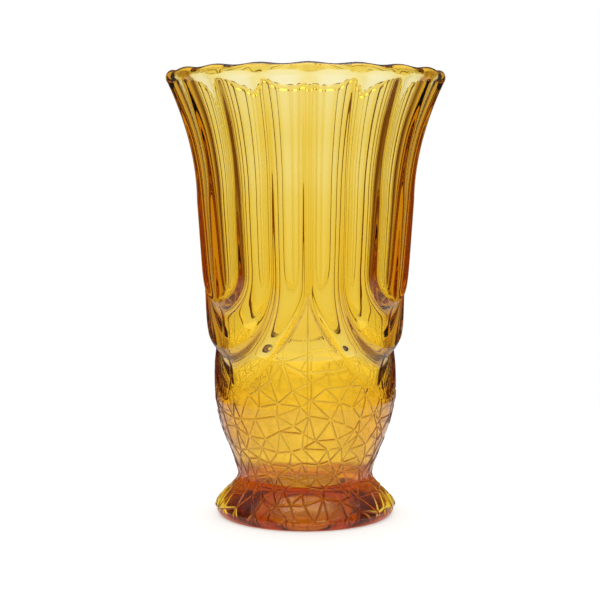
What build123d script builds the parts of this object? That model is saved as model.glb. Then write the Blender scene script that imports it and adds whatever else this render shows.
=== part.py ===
from build123d import *
import math
import os

os.makedirs("parts", exist_ok=True)

# Pressed-glass vase in millimetres. The foot stands on Z = 0 and the axis is the Z axis.
# A mould seam faces -Y, so two draped panels show to the left and right of it.

# Outline of the ridges, from the lip down
vase_height = 200.0
lip_radius = 62.6          # at the widest line of the lip
lip_round = 4.0            # height of the rounded lip above its widest line
lip_inset = 2.4            # how far the lip rounds back towards the top, outside and inside
lip_wave = 0.8             # how far the lip dips in the middle of each flute
throat_height = 142.7      # the flare starts here
throat_radius = 49.15
flare_power = 1.9          # 1 makes the flare a cone, and more keeps its turn for the lip
body_radius = 46.0         # at the end of the inner drape
drape_radius = 43.8        # just above the end of the middle drape
under_radius = 41.3        # just below it
belly_radius = 41.0        # at the end of the outer drape
shin_height = 29.4         # two points on the side between the waist and the belly
shin_radius = 33.8
calf_height = 40.2
calf_radius = 38.1
waist_height = 18.4
waist_radius = 30.3
foot_radius = 40.6
foot_edge = 3.6            # height of the foot's widest line
foot_round = 2.3           # how far the foot rounds in under that line
hollow_radius = 31.0       # hollow under the foot
hollow_depth = 6.5

# Flutes and drapes
panel_count = 3            # one draped panel to each part of the mould
flute_depth = 2.6
flute_power = 2.8          # 2 makes a flute a parabola across, and more flattens its bottom
ridge_width = 2.1          # land left between two flutes, measured at the body
flute_end = 4.8            # the flutes end this far below the top of the lip
flute_arch = 2.5           # height of their arched upper ends
drape_top = 114.5          # the flutes start to swing inwards below this height
inner_end = 99.7           # lowest points of the three nested drapes
middle_end = 76.2
outer_end = 53.1
drape_fall = 4.0           # half the height over which the outline steps in under the middle drape
drape_power = 2.5          # how late the inner and middle drapes swing in
drape_root = 0.5           # 0.5 rounds their ends, and more draws them to a point
arch_top = 104.5           # point of the arch left between two panels
arch_power = 1.6           # the same two for the outer drape, which bounds the arch
arch_root = 0.8
arch_sink = 1.2            # the ground at that point lies this far behind the ridges
arch_start = 0.25          # and it starts this far before them, below the end of the middle drape
channel_lean = 0.5         # 0 keeps a channel even, 1 puts its depth under the drape above

# Inside: the thickness of the glass, from the outline of the ridges
lip_wall = 5.6
flare_wall = 5.9           # half-way up the flare
throat_wall = 6.5
body_wall = 7.8
under_wall = 6.3
belly_wall = 8.4
well_radius = 26.5         # inside radius at the top of the bowl-shaped bottom
well_height = 30.0
floor_height = 10.5
bowl_fullness = 0.55       # 0 makes the bottom a cone, and more makes it a fuller bowl

panel_angle = 360.0 / panel_count
half_panel = panel_angle / 2
flute_angle = half_panel / 3    # a flute of the inner drape and two draped channels to each half panel
flute_count = round(360 / flute_angle)
land = math.degrees(ridge_width / 2 / body_radius)
lip_height = vase_height - lip_round
flute_top = vase_height - flute_end
reach = 4 * flute_depth         # how far cutting tools stand out of the glass
spare = 2.0                     # how far they pass its ends
past_edge = 0.12                # how far they pass a channel's edges, as a share of its width


def smooth_line(stations, z):
    """Radius at height z on a curve through the stations that never overshoots them."""
    heights = [s[0] for s in stations]
    radii = [s[1] for s in stations]
    last = len(stations) - 1
    slopes = [(radii[i + 1] - radii[i]) / (heights[i + 1] - heights[i]) for i in range(last)]
    leans = [slopes[0]]
    for a, b in zip(slopes, slopes[1:]):
        leans.append(2 * a * b / (a + b) if a * b > 0 else 0.0)
    leans.append(slopes[-1])
    z = min(max(z, heights[0]), heights[-1])
    i = max(k for k in range(last) if heights[k] <= z)
    step = heights[i + 1] - heights[i]
    t = (z - heights[i]) / step
    return (
        radii[i] * (1 + 2 * t) * (1 - t) ** 2
        + radii[i + 1] * t * t * (3 - 2 * t)
        + step * t * (1 - t) * (leans[i] * (1 - t) - leans[i + 1] * t)
    )


crest_stations = (
    (outer_end, belly_radius),
    (middle_end - drape_fall / 2, under_radius),
    (middle_end + drape_fall * 3 / 2, drape_radius),
    (inner_end, body_radius),
    (throat_height, throat_radius),
)


def crest_radius(z):
    """Radius of the ridges at height z, with the flare."""
    if z <= throat_height:
        return smooth_line(crest_stations, z)
    rise = (z - throat_height) / (lip_height - throat_height)
    return throat_radius + (lip_radius - throat_radius) * rise ** flare_power


def drape_curve(label):
    """Top, lowest point, power and root of the drape curve with this label.

    The label is the curve's half width, in degrees, up among the straight flutes.
    """
    step = label / flute_angle - 2
    if step < 0:
        return drape_top, middle_end + (middle_end - inner_end) * step, drape_power, drape_root
    return (
        drape_top + (arch_top - drape_top) * step,
        middle_end + (outer_end - middle_end) * step,
        drape_power + (arch_power - drape_power) * step,
        drape_root + (arch_root - drape_root) * step,
    )


def drape_width(label, z):
    """Half width of a drape curve, in degrees, at height z."""
    high, low, power, root = drape_curve(label)
    down = min(max((high - z) / (high - low), 0.0), 1.0)
    return label * (1 - down ** power) ** root


def place(angle, z, radius):
    """Point at an angle from the front of the vase, in degrees."""
    turn = math.radians(angle)
    return Vector(radius * math.sin(turn), -radius * math.cos(turn), z)


def tool_section(points):
    """Closed section of a cutting tool: a channel curve, shut well outside the glass."""
    count = len(points) - 1
    curve = Edge.make_spline(points, parameters=[i / count for i in range(count + 1)])
    first, last = points[0], points[-1]
    far_first = first + Vector(first.X, first.Y, 0).normalized() * reach
    far_last = last + Vector(last.X, last.Y, 0).normalized() * reach
    corners = [last, far_last, far_first, first]
    return Wire([curve] + [Edge.make_line(a, b) for a, b in zip(corners, corners[1:])])


shares = [-past_edge + (1 + 2 * past_edge) * i / 6 for i in range(7)]
end_falls = (0.3, 0.55, 0.75, 0.88, 0.96)    # sections closer together as a flute narrows to its end
flare_heights = [throat_height + (lip_height - throat_height) * i / 4 for i in range(5)]


def channel_depth(share, lean):
    """Depth across a channel: 0 at its edges, and past them the tool rises out of the glass."""
    return flute_depth * (1 - abs(2 * share - 1) ** flute_power) * (1 + lean * (1 - 2 * share))


def flute_row(low, high, z, shrink):
    """Angles, height and radii across a straight flute, with its depth shrunk near its ends."""
    return [(low + (high - low) * s, z, crest_radius(z) - shrink * channel_depth(s, 0)) for s in shares]


def flute_rows(low, high):
    """Rows of a straight flute from its arched upper end down to below the throat."""
    rows = []
    full_height = flute_top - flute_arch
    for fall in end_falls[::-1]:
        shrink = math.sqrt(1 - fall ** 2)
        spread = (high - low) / 2 * (1 - shrink)
        rows.append(flute_row(low + spread, high - spread, full_height + flute_arch * fall, shrink))
    for i in range(4, -1, -1):
        rows.append(flute_row(low, high, throat_height + (full_height - throat_height) * i / 4, 1.0))
    rows.append(flute_row(low, high, (throat_height + drape_top) / 2, 1.0))
    return rows


def loft_rows(rows):
    """Cutting tool through rows of angles from a panel's middle, heights and radii."""
    return Solid.make_loft([tool_section([place(half_panel + w, z, r) for w, z, r in row]) for row in rows])


def draped_channel(inner, outer):
    """Tool for one channel that hangs from the lip, swings under and comes up again."""
    low, high = inner * flute_angle + land, outer * flute_angle - land
    half = flute_rows(low, high)
    for swing in [i / 7 for i in range(8)]:
        row = []
        for s in shares:
            label = low + (high - low) * s
            top, bottom, power, root = drape_curve(label)
            turn = math.pi / 2 * swing
            z = top - (top - bottom) * math.sin(turn) ** (2 / power)
            width = label * max(math.cos(turn), 0.0) ** (2 * root)
            row.append((width, z, crest_radius(z) - channel_depth(s, channel_lean * swing)))
        half.append(row)
    rows = [[(-w, z, r) for w, z, r in row] for row in half] + half[-2::-1]
    return loft_rows(rows)


def tongue_channel():
    """Tool for one of the two straight flutes on the inner drape."""
    rows = flute_rows(land, flute_angle - land)
    for fall in (0.0,) + end_falls:
        z = drape_top + (inner_end - drape_top) * fall
        width = drape_width(flute_angle, z) - 2 * land
        rows.append(flute_row(land, land + width, z, width / (flute_angle - 2 * land)))
    return loft_rows(rows)


def arch_recess():
    """Tool that sinks the ground of the arch between two panels."""
    ground_stations = (
        (outer_end, belly_radius),
        (middle_end - drape_fall / 2, under_radius + arch_start),
        (arch_top, crest_radius(arch_top) - arch_sink),
    )
    sections = []
    for share in (0.35, 0.5, 0.65, 0.78, 0.88, 0.95, 0.985):    # closer together towards the point
        z = outer_end + (arch_top - outer_end) * share
        spread = half_panel - drape_width(3 * flute_angle, z)
        near = smooth_line(ground_stations, z)
        far = crest_radius(z) + reach
        edges = [
            ThreePointArc(place(-spread, z, near), place(0, z, near), place(spread, z, near)),
            Line(place(spread, z, near), place(spread, z, far)),
            ThreePointArc(place(spread, z, far), place(0, z, far), place(-spread, z, far)),
            Line(place(-spread, z, far), place(-spread, z, near)),
        ]
        sections.append(Wire([edge.edge() for edge in edges]))
    return Solid.make_loft(sections)


def lip_dip():
    """Drum that rolls the top off the lip along the middle of one flute."""
    half_chord = (lip_radius - lip_inset) * math.sin(math.radians(flute_angle / 2))
    radius = (half_chord ** 2 + lip_wave ** 2) / (2 * lip_wave)
    length = lip_wall + 2 * spare
    middle = Pos(0, length / 2 - lip_radius - spare, vase_height - lip_wave + radius)
    drum = middle * Rot(90, 0, 0) * Cylinder(radius, length)
    return Rot(0, 0, flute_angle / 2) * drum


def solid_outline():
    """The vase without its flutes: foot, waist and belly, then the ridges up to the lip."""
    ridge_heights = [outer_end + (throat_height - outer_end) * i / 12 for i in range(12)]
    ridge_heights += flare_heights
    lip_top = (lip_radius - lip_inset, vase_height)
    stock_top = (lip_radius - lip_inset, vase_height + spare)
    upright = (0, 1)
    with BuildPart() as part:
        with BuildSketch(Plane.XZ):
            with BuildLine():
                Line((0, 0), (foot_radius - foot_round, 0))
                Spline((foot_radius - foot_round, 0), (foot_radius, foot_edge), tangents=((1, 0), upright))
                Spline((foot_radius, foot_edge), (waist_radius, waist_height), tangents=(upright, upright))
                Spline(
                    (waist_radius, waist_height),
                    (shin_radius, shin_height),
                    (calf_radius, calf_height),
                    (belly_radius, outer_end),
                    tangents=(upright, upright),
                )
                Spline(*[(crest_radius(z), z) for z in ridge_heights])
                Spline((lip_radius, lip_height), lip_top, tangents=(upright, (-1, 1)))
                Polyline(lip_top, stock_top, (0, vase_height + spare), (0, 0))
            make_face()
        revolve(axis=Axis.Z)
    return part.part


def inside():
    """The round hollow that the plunger leaves: a bowl-shaped bottom, then the side up through the lip."""
    flare_middle = (throat_height + lip_height) / 2
    points = [
        (well_radius, well_height),
        (belly_radius - belly_wall, outer_end),
        (under_radius - under_wall, middle_end - drape_fall / 2),
        (body_radius - body_wall, inner_end),
        (throat_radius - throat_wall, throat_height),
        (crest_radius(flare_middle) - flare_wall, flare_middle),
        (lip_radius - lip_wall, lip_height),
    ]
    lean = (points[1][0] - well_radius) / (outer_end - well_height)
    flare_lean = (points[-1][0] - points[-2][0]) / (lip_height - flare_middle)
    drop = bowl_fullness * (well_height - floor_height)
    mouth = (points[-1][0] + lip_inset, vase_height)
    above = vase_height + 2 * spare
    with BuildPart() as part:
        with BuildSketch(Plane.XZ):
            with BuildLine():
                Bezier(
                    (0, floor_height),
                    (bowl_fullness * well_radius, floor_height),
                    (well_radius - lean * drop, well_height - drop),
                    (well_radius, well_height),
                )
                Spline(*points, tangents=((lean, 1), (flare_lean, 1)))
                Spline(points[-1], mouth, tangents=((flare_lean, 1), (1, 1)))
                Polyline(mouth, (mouth[0], above), (0, above), (0, floor_height))
            make_face()
        revolve(axis=Axis.Z)
    return part.part


def foot_hollow():
    """Dome under the foot, so that the vase stands on a flat ring."""
    radius = (hollow_radius ** 2 + hollow_depth ** 2) / (2 * hollow_depth)
    return Pos(0, 0, hollow_depth - radius) * Sphere(radius)


tongue = tongue_channel()
twin = tongue.mirror(Plane(origin=(0, 0, 0), z_dir=place(half_panel + 90, 0, 1)))
vase = solid_outline()
for tool in (draped_channel(2, 3), draped_channel(1, 2), tongue, twin, arch_recess()):
    vase = vase - [Rot(0, 0, panel_angle * i) * tool for i in range(panel_count)]
vase = vase - inside() - foot_hollow()
dip = lip_dip()
vase = vase - [Rot(0, 0, flute_angle * i) * dip for i in range(flute_count)]
export_step(vase, "parts/vase.step")
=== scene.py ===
import math
import random

import bpy
import numpy as np
from mathutils import Matrix, Vector
from mathutils.geometry import delaunay_2d_cdt


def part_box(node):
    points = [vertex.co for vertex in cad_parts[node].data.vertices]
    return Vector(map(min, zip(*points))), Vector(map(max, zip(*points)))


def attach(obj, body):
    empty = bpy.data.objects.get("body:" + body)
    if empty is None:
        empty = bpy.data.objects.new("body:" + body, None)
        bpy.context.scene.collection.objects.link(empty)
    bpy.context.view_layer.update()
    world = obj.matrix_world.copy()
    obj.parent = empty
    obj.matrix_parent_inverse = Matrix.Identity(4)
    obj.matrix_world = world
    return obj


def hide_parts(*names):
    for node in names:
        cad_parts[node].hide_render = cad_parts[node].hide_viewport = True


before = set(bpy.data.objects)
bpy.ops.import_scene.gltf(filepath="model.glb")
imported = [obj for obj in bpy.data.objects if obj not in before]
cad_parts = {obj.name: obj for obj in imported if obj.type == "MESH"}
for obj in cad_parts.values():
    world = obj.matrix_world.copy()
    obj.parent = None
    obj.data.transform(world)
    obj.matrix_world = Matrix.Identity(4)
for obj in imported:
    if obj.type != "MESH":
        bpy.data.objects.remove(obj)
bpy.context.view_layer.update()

# Sizes of the vase in millimetres. Angles are in degrees from the front, which is -Y.
MM = 0.001
vase_low, vase_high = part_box("vase")
vase_height = vase_high[2] / MM
lip_radius = -vase_low[1] / MM
lip_height = vase_height - 4.0
lip_low = lip_height - 0.8
lip_wave = 0.8
lip_turn = 0.6
throat_height = 142.7
throat_radius = 49.15
flare_power = 1.9
outer_end = 53.1
crest_heights = (outer_end, 74.2, 82.2, 99.7, throat_height)
crest_radii = (41.0, 41.3, 43.8, 46.0, throat_radius)
waist_height = 18.4
waist_radius = 30.3
base_heights = (waist_height, 29.4, 40.2, outer_end)
base_radii = (waist_radius, 33.8, 38.1, 41.0)
foot_radius = 40.6
foot_edge = 3.6
foot_round = 2.3
hollow_radius = 31.0
hollow_depth = 6.5
inside_heights = (30.0, 53.1, 74.2, 99.7, throat_height, 169.35, lip_height)
inside_radii = (26.5, 32.6, 35.0, 38.2, 42.65, 46.85, 57.0)
floor_height = 10.5
bowl_fullness = 0.55

# Flutes and the draped panels
panel_angle = 120.0
half_panel = 60.0
flute_count = 18
flute_angle = 20.0
flute_depth = 2.6
flute_power = 2.8
flute_taper = 0.3
flute_arch = 2.6
flute_top = vase_height - 3.4
land = 1.3
drape_top = 114.5
inner_end = 99.7
middle_end = 76.2
drape_power = 2.5
drape_root = 0.5
arch_top = 104.5
arch_power = 1.6
arch_root = 0.8
ground_heights = (outer_end, 74.2, arch_top)
ground_radii = (41.0, 41.55, 45.1)
channel_lean = 0.5
label_steps = 161
tiny = 0.01

# Crackle of thin raised lines on the ground below the drapes, and the mould seams
crackle_seed = 7
crackle_spacing = 6.8
crackle_jitter = 0.34
crackle_longest = 2.2
crackle_skip = 0.18
crackle_half_width = 0.45
crackle_margin = 1.6
crackle_height = 0.4
foot_crackle_height = 0.85
crackle_trim = 0.6
crackle_trim_range = (0.2, 2.0)
crackle_faintest = 0.55
crackle_top = 88.0
crackle_fade = 30.0
crackle_low = 2.0
crackle_low_fade = 2.0
seam_height = 0.25
seam_angle = 0.6
seam_fade = 2.0
# Painted shade along the mould seams, as a share of the darkening of the crackle lines
seam_painted_shade = 0.5

# Mesh grid: fine where the crackle is, coarser up the flutes
columns = 66 * flute_count
column_angles = np.arange(columns) * 360.0 / columns
drape_rows_top = 116.0
flute_rows_top = 188.0
outer_heights = np.concatenate([
    foot_edge * (1 - np.cos(np.linspace(0, math.pi / 2, 9)))[:-1],
    np.linspace(foot_edge, crackle_top, 340, endpoint=False),
    np.linspace(crackle_top, drape_rows_top, 70, endpoint=False),
    np.linspace(drape_rows_top, flute_rows_top, 30, endpoint=False),
    np.linspace(flute_rows_top, lip_low, 24),
])
under_shares = (0.25, 0.5, 0.75, 1.0)
lip_steps = 11
inside_steps = 56
bowl_steps = 18
soften_passes = 8

# Amber glass. Its ground is satin among the crackle and on the steep ends of the drapes.
glass_ior = 1.5
glass_colour = (0.955, 0.83, 0.0, 1.0)
glass_density = 240.0
streak_scale = 45.0
streak_detail = 3.0
streak_tint = (1.0, 0.96, 0.88, 1.0)
# Painted shade: the raised crackle lines are coloured dark brown to stand in for the shade that
# refraction gives them
line_painted_shade = (0.1, 0.035, 0.005, 1.0)
polish_roughness = 0.03
ground_roughness = 0.15
ledge_frost = 4.5
ledge_slope = 0.5
ledge_range = 0.4
ripple_strength = 0.08
ripple_height = 0.0004

# Stage, in metres, and the light that rays meet there: straight through the glass, at the sides,
# after a reflection inside the glass, off its outer surface, and from above
floor_size = 12.0
floor_grey = (0.9, 0.9, 0.9, 1.0)
floor_roughness = 0.8
floor_glow = 0.38
floor_limits = (0.15, 0.4)
white = (1.0, 1.0, 1.0, 1.0)
side_light = (0.6, 0.56, 0.5, 1.0)
side_limits = (0.1, 0.85)
bounce_dim = (0.16, 0.06, 0.01, 1.0)
bounce_bright = (0.8, 0.6, 0.4, 1.0)
bounce_limits = (0.2, 0.9)
sheen_light = (0.14, 0.1, 0.06, 1.0)
top_light = (0.6, 0.6, 0.6, 1.0)
top_limits = (0.4, 0.9)
any_limits = (0.4, 0.6)
lamp_place = (0, 0.1, 1.3)
lamp_aim = (0, 0, 0)
lamp_width = 1.0
lamp_power = 6.0
light_bounces = 24

# Camera, from the photo: millimetres in the plane of the vase's axis
sensor_width = 36.0
frame_width = 600
pixel_size = 0.4525
focal_pixels = 1430
camera_height = 152.6
aim_height = 98.06
aim_side = -2.4
camera_turn = -1.2


def smooth_line(heights, radii, z):
    """Radii at heights z on a curve through the stations that never overshoots them."""
    heights, radii, z = np.asarray(heights), np.asarray(radii), np.asarray(z)
    slopes = np.diff(radii) / np.diff(heights)
    leans = np.zeros(len(radii))
    leans[0], leans[-1] = slopes[0], slopes[-1]
    for k, (a, b) in enumerate(zip(slopes, slopes[1:]), start=1):
        leans[k] = 2 * a * b / (a + b) if a * b > 0 else 0.0
    z = np.clip(z, heights[0], heights[-1])
    i = np.clip(np.searchsorted(heights, z, side="right") - 1, 0, len(slopes) - 1)
    step = heights[i + 1] - heights[i]
    t = (z - heights[i]) / step
    bend = step * t * (1 - t) * (leans[i] * (1 - t) - leans[i + 1] * t)
    return radii[i] * (1 + 2 * t) * (1 - t) ** 2 + radii[i + 1] * t * t * (3 - 2 * t) + bend


def cubic(t, a, b, c, d):
    """Value at t of a cubic Bezier curve with these four corners."""
    return a * (1 - t) ** 3 + 3 * b * t * (1 - t) ** 2 + 3 * c * t * t * (1 - t) + d * t ** 3


def crest_radius(z):
    """Radius of the ridges between the flutes."""
    rise = np.clip((z - throat_height) / (lip_height - throat_height), 0, 1)
    flare = (lip_radius - throat_radius) * rise ** flare_power
    return smooth_line(crest_heights, crest_radii, z) + flare


def ground_radius(z):
    """Radius of the plain surface under and between the drapes, down to the foot."""
    round_off = np.clip(1 - z / foot_edge, 0, 1)
    foot = foot_radius - foot_round * (1 - np.sqrt(1 - round_off ** 2))
    t = np.clip((z - foot_edge) / (waist_height - foot_edge), 0, 1)
    foot = foot + (waist_radius - foot_radius) * t * t * (3 - 2 * t)
    arch = smooth_line(ground_heights, ground_radii, z)
    base = smooth_line(base_heights, base_radii, z)
    return np.where(z < waist_height, foot, np.where(z < outer_end, base, arch))


def drape_curve(label):
    """Top, lowest point, power and root of the drape curves with these labels.

    A label is a curve's half width, in degrees, up among the straight flutes.
    """
    step = label / flute_angle - 2
    out = np.maximum(step, 0)
    fall = np.where(step < 0, middle_end - inner_end, outer_end - middle_end)
    low = middle_end + fall * step
    top = drape_top + (arch_top - drape_top) * out
    power = drape_power + (arch_power - drape_power) * out
    root = drape_root + (arch_root - drape_root) * out
    return top, low, power, root


def flute_shape(share, shrink):
    """Depth across a flute, from 0 at its edges to 1 along its middle.

    The flute is narrower and shallower where it shrinks, near its ends.
    """
    across = np.clip(np.abs(2 * share - 1) / max(shrink, tiny) ** flute_taper, 0, 1)
    return shrink * (1 - across ** flute_power)


def flute_row(z, across):
    """Depth below the crest, and share of plain ground, at angles across from a panel's middle."""
    labels = np.linspace(flute_angle, half_panel, label_steps)
    top, low, power, root = drape_curve(labels)
    down = np.clip((top - z) / (top - low), 0, 1)
    widths = labels * (1 - down ** power) ** root
    inner, outer = widths[0], widths[-1]
    rise = np.clip((flute_top - z) / flute_arch, 0, 1)
    upper = rise * rise * (3 - 2 * rise)
    full_room = flute_angle - 2 * land
    room = max(inner - 2 * land, tiny)
    tongue = np.clip((across - land) / room, 0, 1)
    tongue_depth = room / full_room * flute_shape(tongue, upper)
    label = np.interp(across, widths, labels)
    turn = np.clip(np.interp(label, labels, down ** (power / 2)), 0, 1)
    swing = np.arcsin(turn) / (math.pi / 2)
    share = np.clip((np.mod(label, flute_angle) - land) / full_room, 0, 1)
    channel = flute_shape(share, upper) * (1 + channel_lean * swing * (1 - 2 * share))
    depth = flute_depth * np.where(across > inner, channel, tongue_depth)
    ground = np.clip(across - outer, 0, 1) if z < arch_top else np.zeros_like(across)
    return depth, ground


def outside_rows():
    """Crest radius, depth below it, and share of crackled ground in each row of the outside."""
    across = np.abs(np.mod(column_angles, panel_angle) - half_panel)
    crest, depth, ground = [], [], []
    for z in outer_heights:
        if z < outer_end:
            ridge = ground_radius(z)
            dip, plain = np.zeros(columns), np.ones(columns)
        else:
            ridge = crest_radius(z)
            dip, plain = flute_row(z, across)
            dip = np.where(plain > 0, max(ridge - ground_radius(z), 0), dip)
        high_fade = np.clip((crackle_top - z) / crackle_fade, 0, 1)
        low_fade = np.clip((z - crackle_low) / crackle_low_fade, 0, 1)
        crest.append(ridge)
        depth.append(dip)
        ground.append(plain * high_fade * low_fade)
    return np.array(crest)[:, None], np.array(depth), np.array(ground)


def soften(depth):
    """Rounds the ridges and the ends of the flutes as fire-polishing does."""
    for _ in range(soften_passes):
        depth = (np.roll(depth, 1, 1) + 2 * depth + np.roll(depth, -1, 1)) / 4
        depth[1:-1] = (depth[:-2] + 2 * depth[1:-1] + depth[2:]) / 4
    return depth


def crackle_points(scatter, width, height):
    """Scattered points in staggered rows on a strip that closes on itself."""
    across, up = round(width / crackle_spacing), round(height / crackle_spacing)
    step_u, step_v = width / across, height / up
    points = []
    for j in range(-1, up + 2):
        for i in range(across):
            u = (i + 0.5 * (j % 2) + scatter.uniform(-crackle_jitter, crackle_jitter)) * step_u
            v = (j + scatter.uniform(-crackle_jitter, crackle_jitter)) * step_v
            points.append((u % width, v))
    return points


def crackle_lines(width, height):
    """Straight lines between scattered points: start, end and strength of each."""
    scatter = random.Random(crackle_seed)
    points = crackle_points(scatter, width, height)
    wrapped = [Vector((u + shift * width, v)) for shift in (0, -1, 1) for u, v in points]
    edges = delaunay_2d_cdt(wrapped, [], [], 0, 1e-6)[1]
    longest = crackle_longest * crackle_spacing
    lines = []
    for a, b in edges:
        p, q = sorted((wrapped[a], wrapped[b]), key=lambda point: point.x)
        run = q - p
        if not 0 <= p.x < width or run.length > longest or scatter.random() < crackle_skip:
            continue
        trim = run.normalized() * crackle_trim
        start = p + trim * scatter.uniform(*crackle_trim_range)
        end = q - trim * scatter.uniform(*crackle_trim_range)
        lines.append((start, end, scatter.uniform(crackle_faintest, 1.0)))
    return lines


def crackle_relief(radius):
    """Height of the crackle lines, from 0 to 1, on the rows and columns of the outside."""
    mean = radius.mean(axis=1)
    ring = mean[len(mean) // 4]
    path = np.hypot(np.diff(mean), np.diff(outer_heights))
    v = ring * np.concatenate([[0], np.cumsum(path / ((mean[1:] + mean[:-1]) / 2))])
    width = 2 * math.pi * ring
    relief = np.zeros_like(radius)
    cell = width / columns
    reach = crackle_margin * crackle_half_width
    for p, q, strength in crackle_lines(width, v[np.searchsorted(outer_heights, arch_top)]):
        rows = np.flatnonzero((v > min(p.y, q.y) - reach) & (v < max(p.y, q.y) + reach))
        cols = np.arange(int((p.x - reach) / cell), int((q.x + reach) / cell) + 2)
        du, dv = cols[None, :] * cell - p.x, v[rows][:, None] - p.y
        run = q - p
        t = np.clip((du * run.x + dv * run.y) / run.length_squared, 0, 1)
        away = np.hypot(du - t * run.x, dv - t * run.y) * (mean[rows] / ring)[:, None]
        line = strength * np.clip(1 - away / crackle_half_width, 0, 1)
        where = np.ix_(rows, cols % columns)
        relief[where] = np.maximum(relief[where], line)
    return relief


def seam_relief():
    """Height of the three mould seams, from 0 to 1, below the points of the arches."""
    off_seam = np.abs(np.mod(column_angles + half_panel, panel_angle) - half_panel)
    low = np.clip((arch_top - outer_heights) / seam_fade, 0, 1)[:, None]
    return np.clip(1 - off_seam / seam_angle, 0, 1)[None, :] * low


def ledges(depth):
    """Share of steep surface, from 0 to 1, where the drapes end."""
    slope = np.abs(np.gradient(depth, outer_heights, axis=0))
    steep = np.clip((slope - ledge_slope) / ledge_range, 0, 1)
    return steep * (outer_heights < drape_top)[:, None]


def outside():
    """Radius, painted shade of the raised lines and the mould seams, and satin finish at each row
    and column of the outside.
    """
    crest, depth, ground = outside_rows()
    depth = soften(depth)
    radius = crest - depth
    lines = crackle_relief(radius) * ground
    on_foot = outer_heights < waist_height
    height = np.where(on_foot, foot_crackle_height, crackle_height)[:, None]
    seams = seam_relief()
    frost = np.maximum(ground, ledge_frost * ledges(depth))
    radius = radius + height * lines + seam_height * seams
    # The second value is painted shade: how much darker the raised lines and the mould seams are
    # coloured
    return radius, np.maximum(lines, seam_painted_shade * seams), frost


def under_rings():
    """Rings from the middle of the hollow under the foot out to its edge."""
    rings = []
    for share in under_shares:
        rings.append((np.full(columns, hollow_radius * share), hollow_depth * (1 - share ** 2)))
    return rings


def lip_rings(edge):
    """Rings over the rounded lip, from the top row of the outside to the inside."""
    inner = smooth_line(inside_heights, inside_radii, lip_low)
    outer = crest_radius(lip_low)
    middle = (outer + inner) / 2
    lean = (inside_radii[-1] - inside_radii[-2]) / (inside_heights[-1] - inside_heights[-2])
    swing = lean * (vase_height - lip_low) / 2
    waves = np.cos(np.radians(column_angles * 360 / flute_angle))
    rise = vase_height - lip_wave * (1 - waves) / 2 - lip_low
    rings = []
    for t in np.linspace(0, 1, lip_steps)[1:]:
        radius = cubic(t, edge, outer + swing, lip_radius - lip_turn, middle)
        rings.append((radius, lip_low + rise * cubic(t, 0.0, 0.5, 1.0, 1.0)))
    for t in np.linspace(0, 1, lip_steps)[1:-1]:
        radius = cubic(t, middle, inner + 2 * swing, inner + swing, inner)
        rings.append((np.full(columns, radius), lip_low + rise * cubic(t, 1.0, 1.0, 0.5, 0.0)))
    return rings


def inside_rings():
    """Rings down the side of the inside."""
    rings = []
    for z in np.linspace(lip_low, inside_heights[0], inside_steps):
        rings.append((np.full(columns, smooth_line(inside_heights, inside_radii, z)), z))
    return rings


def bowl_rings():
    """Rings down the bowl-shaped bottom of the inside."""
    radius, height = inside_radii[0], inside_heights[0]
    lean = (inside_radii[1] - radius) / (inside_heights[1] - height)
    drop = bowl_fullness * (height - floor_height)
    rings = []
    for t in np.linspace(0, 1, bowl_steps)[1:-1]:
        across = cubic(t, radius, radius - lean * drop, bowl_fullness * radius, 0.0)
        z = cubic(t, height, height - drop, floor_height, floor_height)
        rings.append((np.full(columns, across), z))
    return rings


def ring_points(rings):
    """Points of the rings, between a point under the foot and one on the floor of the inside."""
    turn = np.radians(column_angles)
    points = [np.array([[0.0, 0.0, hollow_depth]])]
    for across, z in rings:
        height = np.broadcast_to(z, columns)
        points.append(np.column_stack([across * np.sin(turn), -across * np.cos(turn), height]))
    points.append(np.array([[0.0, 0.0, floor_height]]))
    return np.concatenate(points) * MM


def ring_faces(count):
    """Faces between the rings, and round the first and the last point."""
    here = np.arange(columns)
    after = np.roll(here, -1)
    faces = [(0, 1 + b, 1 + a) for a, b in zip(here, after)]
    for k in range(count - 1):
        low, high = 1 + k * columns, 1 + (k + 1) * columns
        faces += np.column_stack([low + here, low + after, high + after, high + here]).tolist()
    last = 1 + (count - 1) * columns
    faces += [(last + a, last + b, last + columns) for a, b in zip(here, after)]
    return faces


def mark(mesh, name, rows, first):
    """Keeps a value at each point of the outside, and 0 elsewhere, for the material."""
    values = np.zeros(len(mesh.vertices), dtype=np.float32)
    values[first:first + rows.size] = rows.ravel()
    mesh.attributes.new(name, "FLOAT", "POINT").data.foreach_set("value", values)


def vase_mesh():
    """One closed mesh of the whole glass."""
    radius, lines, frost = outside()
    under = under_rings()
    rings = under + list(zip(radius, outer_heights))
    rings += lip_rings(radius[-1]) + inside_rings() + bowl_rings()
    mesh = bpy.data.meshes.new("vase_glass")
    mesh.from_pydata(ring_points(rings).tolist(), [], ring_faces(len(rings)))
    mesh.shade_smooth()
    first = 1 + len(under) * columns
    # Painted shade for the raised lines and the mould seams, darkening their colour in the material
    mark(mesh, "crackle_lines", lines, first)
    mark(mesh, "crackle_ground", frost, first)
    return mesh


def ramp(tree, value, limits):
    """Smooth step of a node value: 0 at the first limit and below, 1 at the second and above."""
    step = tree.nodes.new("ShaderNodeMapRange")
    step.interpolation_type = "SMOOTHSTEP"
    step.inputs["From Min"].default_value, step.inputs["From Max"].default_value = limits
    tree.links.new(value, step.inputs["Value"])
    return step.outputs["Result"]


def mix_colour(tree, share, first, second):
    """First colour where the share is 0, second where it is 1. Each is a colour or an output."""
    mix = tree.nodes.new("ShaderNodeMix")
    mix.data_type = "RGBA"
    tree.links.new(share, mix.inputs["Factor"])
    for socket, colour in ((mix.inputs[6], first), (mix.inputs[7], second)):
        if isinstance(colour, tuple):
            socket.default_value = colour
        else:
            tree.links.new(colour, socket)
    return mix.outputs[2]


def marked(tree, name):
    """Value kept at the points of the mesh under this name."""
    attribute = tree.nodes.new("ShaderNodeAttribute")
    attribute.attribute_name = name
    return attribute.outputs["Fac"]


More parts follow.
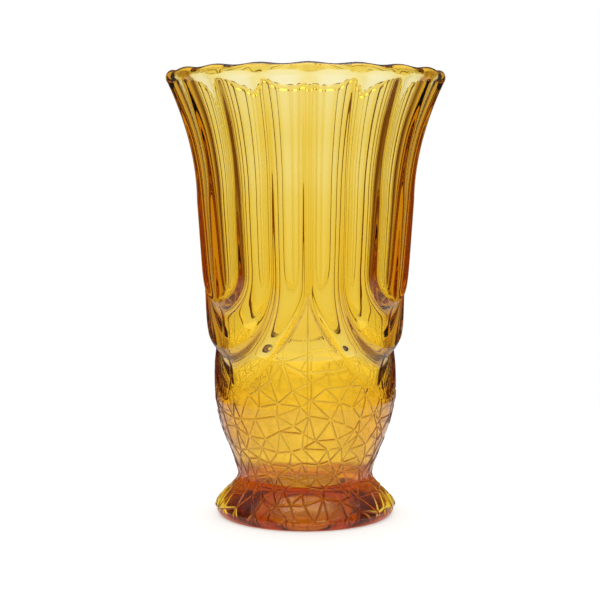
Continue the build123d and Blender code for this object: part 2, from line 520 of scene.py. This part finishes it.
def glass_streaks(tree):
    """Faint uneven streaks through the glass."""
    place = tree.nodes.new("ShaderNodeTexCoord")
    streaks = tree.nodes.new("ShaderNodeTexNoise")
    streaks.inputs["Scale"].default_value = streak_scale
    streaks.inputs["Detail"].default_value = streak_detail
    tree.links.new(place.outputs["Object"], streaks.inputs["Vector"])
    return streaks.outputs["Fac"]


def tint_with_painted_shade(tree, streaks):
    """Nearly clear with faint streaks, and painted shade that colours the raised lines and the
    mould seams darker.
    """
    tint = tree.nodes.new("ShaderNodeValToRGB")
    tint.color_ramp.elements[0].color = streak_tint
    tint.color_ramp.elements[1].color = white
    tree.links.new(streaks, tint.inputs["Fac"])
    # Painted shade: the colour turns dark brown on the raised lines and the mould seams
    return mix_colour(tree, marked(tree, "crackle_lines"), tint.outputs["Color"], line_painted_shade)


def glass_roughness(tree, streaks):
    """Fire-polished gloss, with a satin ground."""
    polish = tree.nodes.new("ShaderNodeMapRange")
    polish.inputs["To Min"].default_value = 0.0
    polish.inputs["To Max"].default_value = polish_roughness
    tree.links.new(streaks, polish.inputs["Value"])
    frost = tree.nodes.new("ShaderNodeMath")
    frost.operation = "MULTIPLY_ADD"
    tree.links.new(marked(tree, "crackle_ground"), frost.inputs[0])
    frost.inputs[1].default_value = ground_roughness
    tree.links.new(polish.outputs["Result"], frost.inputs[2])
    return frost.outputs["Value"]


def glass_ripple(tree, streaks):
    """Slight unevenness of the pressed surface."""
    ripple = tree.nodes.new("ShaderNodeBump")
    ripple.inputs["Strength"].default_value = ripple_strength
    ripple.inputs["Distance"].default_value = ripple_height
    tree.links.new(streaks, ripple.inputs["Height"])
    return ripple.outputs["Normal"]


def amber_glass():
    """Clear amber glass: the colour comes from the depth of glass that light passes through, and
    painted shade darkens the raised lines and the mould seams.
    """
    material = bpy.data.materials.new("amber_glass")
    material.use_nodes = True
    tree = material.node_tree
    shader = tree.nodes["Principled BSDF"]
    shader.inputs["Transmission Weight"].default_value = 1.0
    shader.inputs["IOR"].default_value = glass_ior
    streaks = glass_streaks(tree)
    tree.links.new(tint_with_painted_shade(tree, streaks), shader.inputs["Base Color"])
    tree.links.new(glass_roughness(tree, streaks), shader.inputs["Roughness"])
    tree.links.new(glass_ripple(tree, streaks), shader.inputs["Normal"])
    depth = tree.nodes.new("ShaderNodeVolumeAbsorption")
    depth.inputs["Color"].default_value = glass_colour
    depth.inputs["Density"].default_value = glass_density
    tree.links.new(depth.outputs["Volume"], tree.nodes["Material Output"].inputs["Volume"])
    return material


def make_vase():
    vase = bpy.data.objects.new("vase_glass", vase_mesh())
    bpy.context.scene.collection.objects.link(vase)
    vase.data.materials.append(amber_glass())
    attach(vase, "root")
    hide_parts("vase")


def studio_light(tree, direction):
    """Light from a direction, for the camera, for rays through the glass and for reflected rays."""
    split = tree.nodes.new("ShaderNodeSeparateXYZ")
    tree.links.new(direction, split.inputs["Vector"])
    depth = tree.nodes.new("ShaderNodeMath")
    depth.operation = "ABSOLUTE"
    tree.links.new(split.outputs["Y"], depth.inputs[0])
    facing = depth.outputs["Value"]
    path = tree.nodes.new("ShaderNodeLightPath")
    straight = mix_colour(tree, ramp(tree, facing, side_limits), side_light, white)
    within = mix_colour(tree, ramp(tree, facing, bounce_limits), bounce_dim, bounce_bright)
    entered = ramp(tree, path.outputs["Transmission Depth"], any_limits)
    reflected = mix_colour(tree, entered, sheen_light, within)
    bounced = ramp(tree, path.outputs["Glossy Depth"], any_limits)
    light = mix_colour(tree, bounced, straight, reflected)
    light = mix_colour(tree, ramp(tree, split.outputs["Z"], top_limits), light, top_light)
    return mix_colour(tree, path.outputs["Is Camera Ray"], light, white)


def matt_floor(tree):
    """Matt white that takes the shadow of the vase."""
    matt = tree.nodes["Principled BSDF"]
    matt.inputs["Base Color"].default_value = floor_grey
    matt.inputs["Roughness"].default_value = floor_roughness
    matt.inputs["Specular IOR Level"].default_value = 0.0
    matt.inputs["Emission Color"].default_value = white
    matt.inputs["Emission Strength"].default_value = floor_glow
    return matt.outputs["BSDF"]


def pale_floor():
    """Matt white round the vase, and the same light as the studio's further out."""
    material = bpy.data.materials.new("pale_floor")
    material.use_nodes = True
    tree = material.node_tree
    place = tree.nodes.new("ShaderNodeTexCoord")
    away = tree.nodes.new("ShaderNodeVectorMath")
    away.operation = "LENGTH"
    tree.links.new(place.outputs["Object"], away.inputs[0])
    direction = tree.nodes.new("ShaderNodeVectorMath")
    direction.operation = "NORMALIZE"
    tree.links.new(place.outputs["Object"], direction.inputs[0])
    far = tree.nodes.new("ShaderNodeEmission")
    tree.links.new(studio_light(tree, direction.outputs["Vector"]), far.inputs["Color"])
    blend = tree.nodes.new("ShaderNodeMixShader")
    tree.links.new(ramp(tree, away.outputs["Value"], floor_limits), blend.inputs["Fac"])
    tree.links.new(matt_floor(tree), blend.inputs[1])
    tree.links.new(far.outputs["Emission"], blend.inputs[2])
    tree.links.new(blend.outputs["Shader"], tree.nodes["Material Output"].inputs["Surface"])
    return material


def make_floor():
    mesh = bpy.data.meshes.new("floor")
    half = floor_size / 2
    corners = [(-half, -half, 0), (half, -half, 0), (half, half, 0), (-half, half, 0)]
    mesh.from_pydata(corners, [], [(0, 1, 2, 3)])
    mesh.materials.append(pale_floor())
    floor = bpy.data.objects.new("floor", mesh)
    bpy.context.scene.collection.objects.link(floor)


def make_studio():
    """The light round the vase, with an even white background for the camera."""
    world = bpy.data.worlds.new("studio")
    world.use_nodes = True
    tree = world.node_tree
    place = tree.nodes.new("ShaderNodeTexCoord")
    light = studio_light(tree, place.outputs["Generated"])
    tree.links.new(light, tree.nodes["Background"].inputs["Color"])
    bpy.context.scene.world = world


def make_lamp():
    """Wide soft lamp overhead."""
    light = bpy.data.lights.new("overhead", "AREA")
    light.size = lamp_width
    light.energy = lamp_power
    lamp = bpy.data.objects.new("overhead", light)
    lamp.location = lamp_place
    aim = Vector(lamp_aim) - Vector(lamp_place)
    lamp.rotation_euler = aim.to_track_quat("-Z", "Y").to_euler()
    bpy.context.scene.collection.objects.link(lamp)


def make_camera():
    camera = bpy.data.cameras.new("camera")
    camera.sensor_width = sensor_width
    camera.lens = sensor_width * focal_pixels / frame_width
    turn = Matrix.Rotation(math.radians(camera_turn), 3, "Z")
    eye = turn @ Vector((aim_side, -focal_pixels * pixel_size, camera_height)) * MM
    aim = turn @ Vector((aim_side, 0, aim_height)) * MM
    holder = bpy.data.objects.new("camera", camera)
    holder.location = eye
    holder.rotation_euler = (aim - eye).to_track_quat("-Z", "Y").to_euler()
    bpy.context.scene.collection.objects.link(holder)
    bpy.context.scene.camera = holder


make_vase()
make_floor()
make_studio()
make_lamp()
make_camera()
scene = bpy.context.scene
scene.view_settings.view_transform = "Standard"
scene.cycles.max_bounces = light_bounces
scene.cycles.transmission_bounces = light_bounces
